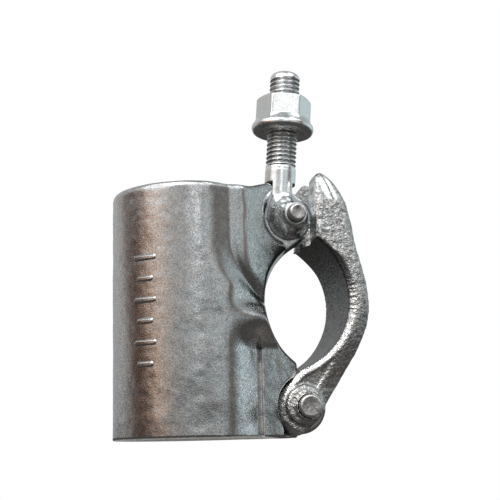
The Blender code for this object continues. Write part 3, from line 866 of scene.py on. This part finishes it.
for piece, cad_name in ((body, "sleeve_body"), (cap, "hinged_cap"), (eye, "swing_bolt"),
                        (nut, "flange_nut"), (pin_top, "bolt_rivet"), (pin_low, "hinge_rivet")):
    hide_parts(cad_name)
for piece, owner, finish in (
        (body, "body", "forged_zinc"), (bars, "body", "forged_zinc"),
        (cap, "cap", "coarse_zinc"), (burr, "cap", "coarse_zinc"), (pin_low, "cap", "pin_steel"),
        (eye, "bolt", "bright_zinc"), (shank, "bolt", "bright_zinc"),
        (pin_top, "bolt", "pin_steel"), (nut, "nut", "bright_zinc")):
    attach(piece, owner)

# ------------------------------------------------------------------ camera, metres
# the camera stands on the -Y side, low down, and looks slightly up
THETA, PHI, ROLL = math.radians(12.652), math.radians(10.431), math.radians(1.272)
TARGET = Vector((0.00492, 0.0, 0.06702))
CAMERA_DISTANCE = 0.400


def build_camera():
    back = Vector((-math.sin(THETA) * math.cos(PHI), -math.cos(THETA) * math.cos(PHI),
                   -math.sin(PHI)))
    level = Vector((math.cos(THETA), -math.sin(THETA), 0.0))
    upright = back.cross(level)
    right = level * math.cos(ROLL) - upright * math.sin(ROLL)
    up = level * math.sin(ROLL) + upright * math.cos(ROLL)
    data = bpy.data.cameras.new("camera")
    data.lens = 80.12
    data.sensor_width = 36.0
    data.clip_start = 0.01
    data.clip_end = 20.0
    camera = link("camera", data)
    pose = Matrix((right, up, back)).transposed().to_4x4()
    pose.translation = TARGET + back * CAMERA_DISTANCE
    camera.matrix_world = pose
    bpy.context.scene.camera = camera


# ------------------------------------------------------------------ world
# reflected bands: degrees from the camera's side, positive to its right, and colour
BANDS = [
    (-180, (0.46, 0.49, 0.50)), (-150, (0.52, 0.54, 0.55)), (-126, (0.66, 0.65, 0.64)),
    (-108, (0.56, 0.52, 0.50)), (-101, (0.24, 0.17, 0.135)), (-95, (0.13, 0.065, 0.045)),
    (-69, (0.095, 0.033, 0.018)), (-64, (0.26, 0.17, 0.13)), (-58, (1.38, 0.90, 0.64)),
    (-48, (1.20, 0.86, 0.66)), (-37, (0.72, 0.63, 0.57)), (-20, (0.64, 0.62, 0.60)),
    (-4, (0.64, 0.645, 0.64)), (12, (0.66, 0.67, 0.67)), (19, (0.46, 0.47, 0.475)),
    (26, (0.50, 0.51, 0.52)), (32, (0.80, 0.84, 0.84)), (48, (0.74, 0.79, 0.80)),
    (58, (0.62, 0.65, 0.65)), (65, (0.22, 0.19, 0.175)), (78, (0.22, 0.195, 0.18)),
    (89, (0.58, 0.66, 0.67)), (115, (0.72, 0.83, 0.84)), (136, (0.66, 0.74, 0.76)),
    (156, (0.50, 0.56, 0.58)), (180, (0.46, 0.49, 0.50))]


def build_world():
    """White to the camera; everything else is lit by bands, cards and a softbox."""
    world = bpy.data.worlds.new("studio")
    bpy.context.scene.world = world
    g = Graph(world)
    out = g.node("ShaderNodeOutputWorld")
    direction = g.node("ShaderNodeTexCoord").outputs["Generated"]

    def dot(vector):
        node = g.node("ShaderNodeVectorMath", operation="DOT_PRODUCT")
        g.put(node.inputs[0], direction)
        node.inputs[1].default_value = vector
        return node.outputs["Value"]

    def window(value, low, high, soft):
        return g.window(value, low - soft, low, high, high + soft)

    def turn_window(low, high, soft):
        return window(turn, math.radians(low), math.radians(high), soft)

    along = dot((-math.sin(THETA), -math.cos(THETA), 0.0))
    across = dot((math.cos(THETA), -math.sin(THETA), 0.0))
    height = dot((0.0, 0.0, 1.0))
    turn = g.math("ARCTAN2", across, along)
    # the warm and dark bands on the left lean with height
    tilt = g.math("MULTIPLY", g.math("SUBTRACT", height, 0.139),
                  g.remap(turn, -0.9, -0.35, 2.3, 0.0))
    turn = g.math("ADD", turn, tilt)
    around = g.math("ADD", g.math("DIVIDE", turn, 2 * math.pi), 0.5)
    bands = g.node("ShaderNodeValToRGB")
    stops = bands.color_ramp.elements
    stops.remove(stops[-1])
    for k, (degrees, colour) in enumerate(BANDS):
        position = (degrees + 180.0) / 360.0
        stop = stops[0] if k == 0 else stops.new(position)
        stop.position = position
        stop.color = (*colour, 1.0)
    g.put(bands.inputs["Fac"], around)

    overhead = g.remap(height, 0.42, 0.62)
    env = g.mix(overhead, bands.outputs["Color"], (0.46, 0.48, 0.49))
    softbox = g.remap(dot((-0.610, -0.330, 0.720)), 0.84, 0.93)
    env = g.mix(softbox, env, (2.4, 2.42, 2.45))
    low_glow = g.math("MULTIPLY", turn_window(96, 132, soft=0.14),
                      window(height, 0.040, 0.085, soft=0.02))
    env = g.mix(low_glow, env, (1.35, 1.60, 1.70))
    # pale above the dark bands, outside the softbox
    lift = g.math("MULTIPLY", turn_window(-118, -50, soft=0.15), g.remap(height, 0.25, 0.29))
    lift = g.math("MULTIPLY", lift, g.math("SUBTRACT", 1.0, softbox))
    env = g.mix(lift, env, (0.62, 0.62, 0.615))
    card = g.math("MULTIPLY", turn_window(5, 19, soft=0.05),
                  window(height, 0.23, 0.36, soft=0.02))
    env = g.mix(card, env, (2.1, 2.12, 2.15))
    high_card = g.math("MULTIPLY", turn_window(5, 52, soft=0.15),
                       window(height, 0.50, 0.82, soft=0.08))
    env = g.mix(high_card, env, (1.9, 1.92, 1.94))
    below = g.remap(height, 0.02, -0.26)
    env = g.mix(g.math("MULTIPLY", below, 1.0), env, (0.085, 0.070, 0.060))

    seen = g.node("ShaderNodeBackground")
    g.put(seen.inputs["Color"], (1.0, 1.0, 1.0))
    lit = g.node("ShaderNodeBackground")
    g.put(lit.inputs["Color"], env)
    rays = g.node("ShaderNodeLightPath")
    g.put(out.inputs[0], g.mix_shader(rays.outputs["Is Camera Ray"], lit.outputs[0],
                                      seen.outputs[0]))


# ------------------------------------------------------------------ floor and lights
def floor_material():
    """Pale paint, dim in reflections and clear from below."""
    mat, g, out, paint, coords = start_material("floor_pale")
    g.put(paint.inputs["Base Color"],
          g.mix(g.noise(coords, scale=18.0), (0.86, 0.86, 0.855), (0.90, 0.90, 0.895)))
    g.put(paint.inputs["Roughness"], 0.75)
    # reflected tone: dark, with a lighter patch on the -Y side and a pale disc in the sleeve
    glow = g.node("ShaderNodeEmission")
    split = g.node("ShaderNodeSeparateXYZ")
    g.put(split.inputs[0], coords)
    patch_x = g.window(split.outputs[0], 0.020, 0.032, 0.060, 0.075)
    patch_y = g.window(split.outputs[1], -0.075, -0.060, -0.020, -0.010)
    tone = g.mix(g.math("MULTIPLY", patch_x, patch_y), (0.10, 0.095, 0.09), (0.21, 0.19, 0.175))
    reach = g.node("ShaderNodeVectorMath", operation="DISTANCE")
    g.put(reach.inputs[0], coords)
    reach.inputs[1].default_value = (-0.0161, 0.0, 0.0)
    disc = g.remap(reach.outputs["Value"], 0.0284, 0.0292, 1.0, 0.0)
    g.put(glow.inputs["Color"], g.mix(disc, tone, (0.46, 0.45, 0.43)))
    clear = g.node("ShaderNodeBsdfTransparent")
    rays = g.node("ShaderNodeLightPath")
    geometry = g.node("ShaderNodeNewGeometry")
    top = g.mix_shader(rays.outputs["Is Glossy Ray"], paint.outputs[0], glow.outputs[0])
    g.put(out.inputs[0], g.mix_shader(geometry.outputs["Backfacing"], top, clear.outputs[0]))
    return mat


def floor():
    mesh = bpy.data.meshes.new("floor")
    half, z, n = 3.0, -0.0004, 12
    verts = [(-half + 2 * half * i / n, -half + 2 * half * j / n, z)
             for i in range(n + 1) for j in range(n + 1)]
    corners = [i * (n + 1) + j for i in range(n) for j in range(n)]
    faces = [[a, a + n + 1, a + n + 2, a + 1] for a in corners]
    mesh.from_pydata(verts, [], faces)
    mesh.materials.append(floor_material())
    return link("floor", mesh)


def area(name, location, size, power, colour):
    """Area light aimed at the clamp's middle."""
    light = bpy.data.lights.new(name, "AREA")
    light.shape = "RECTANGLE"
    light.size, light.size_y = size
    light.energy = power
    light.color = colour
    obj = link(name, light)
    obj.location = location
    aim = Vector((0.0, 0.0, 0.06)) - Vector(location)
    obj.rotation_euler = aim.to_track_quat("-Z", "Y").to_euler()


build_camera()
build_world()
floor()
area("key", location=(-0.35, -0.55, 0.85), size=(0.45, 0.45), power=4.0, colour=(1.0, 0.99, 0.97))
area("fill", location=(0.50, -0.28, 0.90), size=(0.30, 0.60), power=1.2, colour=(0.95, 0.98, 1.0))
bpy.context.scene.view_settings.view_transform = "Standard"
